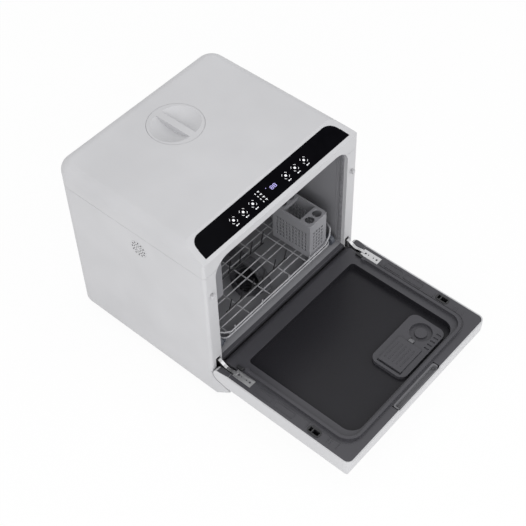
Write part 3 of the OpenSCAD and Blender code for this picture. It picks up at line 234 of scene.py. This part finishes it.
def between(tree, source, low, high):
    """A value that runs from low to high with the noise."""
    span = tree.nodes.new("ShaderNodeMapRange")
    span.inputs["From Min"].default_value = NOISE_LOW
    span.inputs["From Max"].default_value = NOISE_HIGH
    span.inputs["To Min"].default_value = low
    span.inputs["To Max"].default_value = high
    link(tree, source, 0, span, "Value")
    return span


def two_tone(tree, source, low, high, body):
    """Colours the surface from low to high with the noise."""
    ramp = tree.nodes.new("ShaderNodeValToRGB")
    ramp.color_ramp.elements[0].position = NOISE_LOW
    ramp.color_ramp.elements[1].position = NOISE_HIGH
    ramp.color_ramp.elements[0].color = low
    ramp.color_ramp.elements[1].color = high
    link(tree, source, 0, ramp, "Fac")
    link(tree, ramp, "Color", body, "Base Color")


def soft_edges(tree, body, source, depth, distance, radius):
    """Rounds the light on sharp edges and adds the relief of a noise."""
    rounded = tree.nodes.new("ShaderNodeBevel")
    rounded.samples = 4
    rounded.inputs["Radius"].default_value = radius
    relief = tree.nodes.new("ShaderNodeBump")
    relief.inputs["Strength"].default_value = depth
    relief.inputs["Distance"].default_value = distance
    link(tree, source, 0, relief, "Height")
    link(tree, rounded, 0, relief, "Normal")
    link(tree, relief, 0, body, "Normal")


def moulded(name, colour, rough, depth=0.12, shine=0.5):
    """Plastic from an etched mould; depth is how much of the etching shows."""
    material, tree, body, where = new_finish(name)
    fine = noise(tree, where, GRAIN, 2)
    slow = noise(tree, where, PATCHES, 2)
    two_tone(tree, slow, shade(colour, 1 - DRIFT), shade(colour, 1 + DRIFT), body)
    link(tree, between(tree, fine, rough - 0.05, rough + 0.07), 0, body, "Roughness")
    body.inputs["Specular IOR Level"].default_value = shine
    soft_edges(tree, body, fine, depth, 0.0002, MOULD_EDGE)
    return material


white_shell = moulded("white_shell", (0.58, 0.58, 0.596), 0.42, shine=0.35)
white_door = moulded("white_door", (0.60, 0.60, 0.616), 0.40, shine=0.35)
cap_white = moulded("cap_white", (0.57, 0.57, 0.586), 0.42, shine=0.35)
tub_grey = moulded("tub_grey", (0.072, 0.071, 0.080), 0.38, 0.08)
tub_pale = moulded("tub_pale", (0.28, 0.28, 0.298), 0.34, 0.06)
liner_grey = moulded("liner_grey", (0.060, 0.059, 0.067), 0.36, 0.08, shine=0.3)
# painted shade: the door's pan is painted darker to stand for the rack's shadow on it
pan_painted_shade = moulded("pan_painted_shade", (0.018, 0.0175, 0.021), 0.30, 0.06, shine=0.15)
basket_grey = moulded("basket_grey", (0.31, 0.31, 0.33), 0.42)
arm_grey = moulded("arm_grey", (0.13, 0.13, 0.14), 0.40)
grip_grey = moulded("grip_grey", (0.15, 0.15, 0.16), 0.42, shine=0.3)
roller_grey = moulded("roller_grey", (0.085, 0.092, 0.112), 0.38, shine=0.4)
black_nylon = moulded("black_nylon", (0.012, 0.012, 0.014), 0.48)
works_black = moulded("works_black", (0.02, 0.02, 0.022), 0.5)
works_grey = moulded("works_grey", (0.25, 0.25, 0.27), 0.5)
print("materials so far:", len(bpy.data.materials))

# %% [markdown]
# ## Glass, steel, wire and rubber
#
# The control strip is black glass, smooth and deep, with only a trace of dust.
# Sheet steel keeps the long marks of the rolling mill, so its noise is stretched
# along one axis. Rack wire is steel under a soft nylon coat, so it shines less
# than bare metal and has slow waves where the coat ran.

# %% The other finishes


def black_glass():
    material, tree, body, where = new_finish("black_glass")
    dust = noise(tree, where, 60, 6)
    two_tone(tree, dust, (0.0012, 0.0012, 0.0020, 1), (0.0022, 0.0022, 0.0034, 1), body)
    link(tree, between(tree, dust, 0.08, 0.16), 0, body, "Roughness")
    body.inputs["Specular IOR Level"].default_value = 0.02
    soft_edges(tree, body, dust, 0.02, 0.0001, 0.0004)
    return material


def rolled_steel(name, colour, rough):
    material, tree, body, where = new_finish(name)
    lines = noise(tree, where, 160, 4, (1, 0.05, 1))
    body.inputs["Metallic"].default_value = 1
    two_tone(tree, lines, shade(colour, 0.85), shade(colour, 1.08), body)
    link(tree, between(tree, lines, rough - 0.06, rough + 0.1), 0, body, "Roughness")
    soft_edges(tree, body, lines, 0.15, 0.0002, 0.0004)
    return material


def coated_wire(name, colour, rough=0.34):
    material, tree, body, where = new_finish(name)
    runs = noise(tree, where, 90, 3)
    two_tone(tree, runs, shade(colour, 0.86), shade(colour, 1.12), body)
    link(tree, between(tree, runs, rough - 0.05, rough + 0.09), 0, body, "Roughness")
    body.inputs["Coat Weight"].default_value = 0.25
    soft_edges(tree, body, runs, 0.18, 0.0004, 0.0003)
    return material


def rubber(name, colour):
    material, tree, body, where = new_finish(name)
    bloom = noise(tree, where, 220, 5)
    two_tone(tree, bloom, shade(colour, 0.8), shade(colour, 1.25), body)
    link(tree, between(tree, bloom, 0.6, 0.85), 0, body, "Roughness")
    body.inputs["Specular IOR Level"].default_value = 0.25
    soft_edges(tree, body, bloom, 0.25, 0.0003, 0.0005)
    return material


def milky_plastic():
    material, tree, body, where = new_finish("milky_tank")
    cloud = noise(tree, where, 14, 3)
    two_tone(tree, cloud, (0.62, 0.66, 0.70, 1), (0.74, 0.77, 0.80, 1), body)
    link(tree, between(tree, cloud, 0.28, 0.4), 0, body, "Roughness")
    body.inputs["Subsurface Weight"].default_value = 0.15
    soft_edges(tree, body, cloud, 0.05, 0.0004, 0.0008)
    return material


def circuit_green():
    material, tree, body, where = new_finish("circuit_green")
    tracks = tree.nodes.new("ShaderNodeTexBrick")
    tracks.inputs["Scale"].default_value = 180
    tracks.inputs["Color1"].default_value = (0.01, 0.09, 0.03, 1)
    tracks.inputs["Color2"].default_value = (0.015, 0.12, 0.04, 1)
    tracks.inputs["Mortar"].default_value = (0.03, 0.22, 0.07, 1)
    link(tree, where, "Object", tracks, "Vector")
    link(tree, tracks, "Color", body, "Base Color")
    body.inputs["Roughness"].default_value = 0.35
    return material


glass = black_glass()
steel = rolled_steel("plain_steel", (0.52, 0.52, 0.53), 0.34)
screw_steel = rolled_steel("screw_steel", (0.45, 0.45, 0.46), 0.3)
wire_grey = coated_wire("wire_grey", (0.40, 0.40, 0.42), 0.28)
tine_black = coated_wire("tine_black", (0.016, 0.016, 0.018))
black_rubber = rubber("black_rubber", (0.02, 0.02, 0.02))
seal_rubber = rubber("seal_rubber", (0.22, 0.22, 0.235))
tank = milky_plastic()
circuit = circuit_green()
print("materials in all:", len(bpy.data.materials))

# %% [markdown]
# ## Which piece gets which finish
#
# The frame's pieces keep their own shapes, so dressing them is only a matter of
# putting the right finish in their material slots.

# %% Dress the frame
DRESSED = {
    white_shell: ["top_cover", "outer_shell", "rear_cover", "vent_grille", "latch_hooks"],
    white_door: ["door_panel"],
    cap_white: ["fill_cap"],
    tub_pale: ["tub", "air_duct"],
    tub_grey: ["riser", "filter_plate"],
    liner_grey: ["door_liner", "dispenser", "dispenser_lid"],
    arm_grey: ["spray_arm"],
    basket_grey: ["cutlery_basket"],
    grip_grey: ["handle_grip", "lid_catch"],
    roller_grey: ["roller_clips"] + ["roller_%s_%s" % (a, b) for a in ("front", "middle", "rear")
                                     for b in ("left", "right")],
    black_nylon: ["latch_cups", "hinge_stops", "filter_cup", "cord_gland"],
    works_black: ["fan_housing", "fan_wheel", "sump", "wash_pump", "drain_pump"],
    works_grey: ["base_pan", "fill_funnel", "inlet_port", "drain_port"],
    glass: ["control_glass"],
    steel: ["hinge_brackets", "hinge_straps", "heater"],
    screw_steel: ["rear_screws"],
    wire_grey: ["rack_frame", "rack_left", "rack_right", "rack_back", "rack_front"],
    tine_black: ["plate_tines", "bowl_tines"],
    black_rubber: ["feet", "cap_seal"],
    seal_rubber: ["door_gasket"],
    tank: ["water_tank"],
    circuit: ["control_board", "power_board"],
}
for finish, names in DRESSED.items():
    for name in names:
        mesh = NODES[name].data
        mesh.materials.clear()
        mesh.materials.append(finish)
bare = set(NODES) - {n for names in DRESSED.values() for n in names}
print("dressed:", sum(len(n) for n in DRESSED.values()), "bare:", sorted(bare))

# %% [markdown]
# ## Marks on the control strip
#
# The strip's keys are prints on black glass: six touch rings of four arcs with a bright dot and
# a sign under it, a field of small indicators and a two-figure display. The white prints glow by
# emission, which is a painted glow. Each mark is a wafer a tenth of a millimetre thick. One ring
# is cut from a disc, and its copies are laid out along the strip before the whole sheet is
# tilted onto the glass.

# %% The strip's own plane
SLOPE_DROP, SLOPE_RUN = 0.014, 0.056     # fall of the strip and its depth seen from above
SLOPE = math.atan2(SLOPE_DROP, SLOPE_RUN)
GLASS = 0.002             # thickness of the glass
glass_low, glass_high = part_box("control_glass")
STRIP_BACK = glass_high[1] - GLASS * math.sin(SLOPE)
STRIP_DEPTH = (glass_high[2] - glass_low[2] - GLASS * math.cos(SLOPE)) / math.sin(SLOPE)
STRIP_FRONT = STRIP_BACK - STRIP_DEPTH * math.cos(SLOPE)
STRIP_FRONT_Z = glass_high[2] - STRIP_DEPTH * math.sin(SLOPE)
on_strip = Matrix.Translation((0, STRIP_FRONT, STRIP_FRONT_Z)) @ Matrix.Rotation(SLOPE, 4, "X")
WAFER = 0.0001            # thickness of a printed mark
print("strip depth: %.1f mm" % (STRIP_DEPTH * 1000))

# %% Helpers that work as a hand would


def only(*objects):
    bpy.ops.object.select_all(action="DESELECT")
    for o in objects:
        o.select_set(True)
    bpy.context.view_layer.objects.active = objects[0]


def pick_faces(o, rule):
    """Selects just the faces whose middle meets the rule, and stays in edit mode."""
    only(o)
    bpy.ops.object.mode_set(mode="EDIT")
    bpy.ops.mesh.select_mode(type="FACE")
    bpy.ops.mesh.select_all(action="DESELECT")
    bpy.ops.object.mode_set(mode="OBJECT")
    for face in o.data.polygons:
        face.select = rule(face.center)
    bpy.ops.object.mode_set(mode="EDIT")


def settle(o):
    """Puts the object's place, turn and scale into its mesh."""
    only(o)
    bpy.ops.object.transform_apply(location=True, rotation=True, scale=True)


def thicken(o, wall):
    """Gives a flat sheet a wall above it."""
    only(o)
    solid = o.modifiers.new("wall", "SOLIDIFY")
    solid.thickness, solid.offset = wall, 1
    bpy.ops.object.modifier_apply(modifier=solid.name)


def copy_to(o, x, y):
    """A copy with a mesh of its own, at x and y."""
    twin = o.copy()
    twin.data = o.data.copy()
    scene.collection.objects.link(twin)
    twin.location = (x, y, 0)
    return twin


# %% Printed marks
RING, RING_LINE = 0.0074, 0.0008     # radius of a touch ring and width of its line
RING_GAP = 0.0030                    # half of the gap between two arcs of a ring
RING_SIDES = 64
DOT = 0.0024                         # radius of the dot in a ring
KEYS_X = (-0.102, -0.077, -0.052, 0.0365, 0.0615, 0.0865)
KEYS_UP = 0.0203                     # from the strip's front edge to the rings
SIGN_UP = KEYS_UP - 0.0112           # from the strip's front edge to the signs under the rings
LAMPS_X = (-0.0340, -0.0265)         # columns of the field of small indicators
LAMPS_UP = (0.0308, 0.0240, 0.0172, 0.0104)
FIGURES_X = (-0.0012, 0.0064)        # middles of the two figures
FIG_W, FIG_H = 0.0052, 0.0064        # size of a figure between the middles of its bars
FIG_LINE = 0.0011                    # width of its bars
UPRIGHT_GAP, LEVEL_GAP = 0.0006, 0.0008     # what its bars fall short of each other
POINT, POINT_AT = 0.0008, (-0.0108, KEYS_UP + 0.0062)     # the small lamp left of the figures


def arc_ring():
    """A thin ring of four arcs."""
    bpy.ops.mesh.primitive_circle_add(vertices=RING_SIDES, radius=RING, fill_type="NGON")
    ring = bpy.context.object
    bpy.ops.object.mode_set(mode="EDIT")
    bpy.ops.mesh.select_all(action="SELECT")
    bpy.ops.mesh.inset(thickness=RING_LINE)
    bpy.ops.mesh.delete(type="FACE")
    bpy.ops.object.mode_set(mode="OBJECT")
    # four gaps of the same width, a quarter turn apart
    pick_faces(ring, lambda c: min(abs(c.x), abs(c.y)) < RING_GAP)
    bpy.ops.mesh.delete(type="FACE")
    bpy.ops.object.mode_set(mode="OBJECT")
    thicken(ring, WAFER)
    return ring


def wafer(sides, radius, place, size=(1, 1)):
    """A thin mark with that many sides, stretched to size."""
    bpy.ops.mesh.primitive_circle_add(vertices=sides, radius=radius, fill_type="NGON",
                                      rotation=(0, 0, math.pi / sides))
    mark = bpy.context.object
    settle(mark)
    mark.scale = (size[0], size[1], 1)
    mark.location = (place[0], place[1], 0)
    settle(mark)
    thicken(mark, WAFER)
    return mark


def bar(x, y, length, width):
    """A rectangular mark."""
    shrink = math.sqrt(0.5)     # the square in a circle of radius 1 has sides of 1 / shrink
    return wafer(4, 1, (x, y), (length * shrink, width * shrink))


marks = []
first = arc_ring()
for x in KEYS_X:
    marks.append(copy_to(first, x, KEYS_UP))
    settle(marks[-1])
    marks.append(wafer(20, DOT, (x, KEYS_UP)))
    # the small sign under each key
    marks.append(bar(x - 0.0030, SIGN_UP, 0.0030, 0.0022))
    marks.append(bar(x + 0.0012, SIGN_UP, 0.0034, 0.0014))
# the field of small indicators
for up in LAMPS_UP:
    marks.append(bar(LAMPS_X[0], up, 0.0016, 0.0026))
    marks.append(bar(LAMPS_X[1], up + 0.0004, 0.0042, 0.0014))
    marks.append(bar(LAMPS_X[1] + 0.0008, up - 0.0014, 0.0012, 0.0014))
bpy.data.objects.remove(first)

# a display of two figures, each of seven bars
figures = []
for x in FIGURES_X:
    for side in (-1, 1):
        for end in (-1, 1):
            figures.append(bar(x + side * FIG_W / 2, KEYS_UP + end * FIG_H / 4,
                               FIG_LINE, FIG_H / 2 - UPRIGHT_GAP))
    for row in (-1, 0, 1):
        figures.append(bar(x, KEYS_UP + row * FIG_H / 2, FIG_W - LEVEL_GAP, FIG_LINE))
figures.append(wafer(12, POINT, POINT_AT))

for sheet, name in ((marks, "panel_prints"), (figures, "panel_figures")):
    only(*sheet)
    bpy.ops.object.join()
    sheet = bpy.context.object
    sheet.name = sheet.data.name = name
    sheet.matrix_world = on_strip
    settle(sheet)
prints, display = (bpy.data.objects[n] for n in ("panel_prints", "panel_figures"))
print("prints:", len(prints.data.polygons), "faces; display:", len(display.data.polygons))


# both sheets glow by emission; on the white prints this is a painted glow
def glowing_print(name, colour, strength):
    material, tree, body, where = new_finish(name)
    speck = noise(tree, where, 1800, 2)
    two_tone(tree, speck, shade(colour, 0.9), shade(colour, 1), body)
    body.inputs["Roughness"].default_value = 0.4
    body.inputs["Emission Color"].default_value = shade(colour, 1)
    body.inputs["Emission Strength"].default_value = strength
    return material


# painted glow on the white prints
for piece, finish in ((prints, glowing_print("white_print_painted_glow", (0.85, 0.85, 0.88), 0.30)),
                      (display, glowing_print("lit_violet", (0.42, 0.38, 0.75), 0.5))):
    piece.data.materials.clear()
    piece.data.materials.append(finish)
    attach(piece, "cabinet")

# %% [markdown]
# ## Ribs on the door's liner
#
# The liner is a thin moulded sheet, so its flat border is stiffened with low
# ribs: one long rib beside the bead, round both front corners, and small frames
# and short ribs along both sides. Each is a curve with a round section, sunk by
# half into the sheet and turned to a mesh. Their places are measured from the
# fascia, towards the door's free edge.

# %% Liner ribs
FASCIA = -0.029                     # the fascia's place in the frame
BORDER_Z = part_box("door_panel")[1][2]
RIB = 0.0008                        # radius of a rib's section
SIDE, FRONT, BEND = 0.1848, 0.3012, 0.029     # the long rib's legs, front run and corner radius
LEG_FROM = 0.087                    # where its legs start
FRAMES_X = (0.1885, 0.2005)         # sides of the small frames
FRAMES_Y = ((0.096, 0.134), (0.142, 0.184))
SHORT_X = (SIDE + 0.001, 0.198)     # ends of the short ribs
SHORT_Y = (0.214, 0.262, 0.268, 0.283)


def rib(points, closed=False):
    """A rod through the points of the border, as a mesh."""
    path = bpy.data.curves.new("rib", "CURVE")
    path.dimensions = "3D"
    path.bevel_depth, path.bevel_resolution, path.use_fill_caps = RIB, 2, True
    line = path.splines.new("POLY")
    line.points.add(len(points) - 1)
    line.use_cyclic_u = closed
    for spot, (x, y) in zip(line.points, points):
        spot.co = (x, FASCIA - y, BORDER_Z, 1)
    rod = bpy.data.objects.new("rib", path)
    scene.collection.objects.link(rod)
    only(rod)
    bpy.ops.object.convert(target="MESH")
    return bpy.context.object


def arc(x, y, r, start, end, steps=12):
    """Points of an arc, with the angles in degrees and y towards the free edge."""
    turns = [math.radians(start + (end - start) * i / steps) for i in range(steps + 1)]
    return [(x + r * math.cos(t), y + r * math.sin(t)) for t in turns]


def framed(x0, y0, x1, y1, r=0.002):
    """Points of a rectangle with round corners."""
    return (arc(x0 + r, y0 + r, r, 180, 270, 4) + arc(x1 - r, y0 + r, r, 270, 360, 4)
            + arc(x1 - r, y1 - r, r, 0, 90, 4) + arc(x0 + r, y1 - r, r, 90, 180, 4))


ribs = [rib([(SIDE, LEG_FROM)] + arc(SIDE - BEND, FRONT - BEND, BEND, 0, 90)
            + arc(BEND - SIDE, FRONT - BEND, BEND, 90, 180) + [(-SIDE, LEG_FROM)])]
for side in (-1, 1):
    left, right = sorted(side * x for x in FRAMES_X)
    for near, far in FRAMES_Y:
        ribs.append(rib(framed(left, near, right, far), closed=True))
    for y in SHORT_Y:
        ribs.append(rib([(side * x, y) for x in SHORT_X]))
only(*ribs)
bpy.ops.object.join()
ribs = bpy.context.object
ribs.name = ribs.data.name = "liner_ribs"
ribs.data.materials.clear()
ribs.data.materials.append(liner_grey)
settle(ribs)
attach(ribs, "door")
print("ribs:", len(ribs.data.polygons), "faces")

# %% [markdown]
# ## Painted shade on parts of pieces
#
# Some pieces get painted shade on a part of their surface. The faces of that part are found by
# their place and normal, and get a second material slot.
# The pan is painted darker than the etched border, as painted shade where the rack shades it.
# The heel's flat ends are painted as dark as the liner, and the sill behind them as dark as the
# filter's plate: painted shade in the gap at the hinge. The walls of the vent's holes get
# painted shade in black.

# %% Painted shade on faces


def paint_shade_on_faces(node, finish, rule):
    """Paints shade with a second material slot on the faces whose middle and normal meet the
    rule.
    """
    mesh = NODES[node].data
    mesh.materials.append(finish)
    for face in mesh.polygons:
        if rule(face.center, face.normal):
            face.material_index = 1
    print(node, "faces in", finish.name + ":", sum(f.material_index for f in mesh.polygons))


PAN_X = 0.1563                            # half of the pan's width
PAN_Y = (-0.330, FASCIA - 0.0418)
PAN_Z = (BORDER_Z - 0.0145, BORDER_Z - 0.0003)
HEEL_Y, HEEL_Z = -0.080, 0.070            # the heel's ends lie behind and above these
SILL_X = 0.182                            # half of the sill's width
SILL_Y = (-0.0295, -0.015)
SILL_Z = (0.055, 0.090)


def inside(value, limits):
    return limits[0] < value < limits[1]


# painted shade on the door's pan
paint_shade_on_faces("door_liner", pan_painted_shade, lambda c, n:
              abs(c.x) < PAN_X and inside(c.y, PAN_Y) and inside(c.z, PAN_Z))
# painted shade: the heel's ends are painted as dark as the liner, for the shade in the hinge gap
paint_shade_on_faces("door_panel", liner_grey, lambda c, n:
              c.y > HEEL_Y and c.z > HEEL_Z and (n.z > 0.9 or n.x * c.x < -0.1))
# painted shade: the sill is painted as dark as the filter's plate, for the shade in the hinge
# gap
paint_shade_on_faces("outer_shell", tub_grey, lambda c, n:
              inside(c.y, SILL_Y) and inside(c.z, SILL_Z) and abs(c.x) < SILL_X)
# painted shade: the walls of the vent's holes are painted black
paint_shade_on_faces("vent_grille", works_black, lambda c, n: n.x > -0.5)
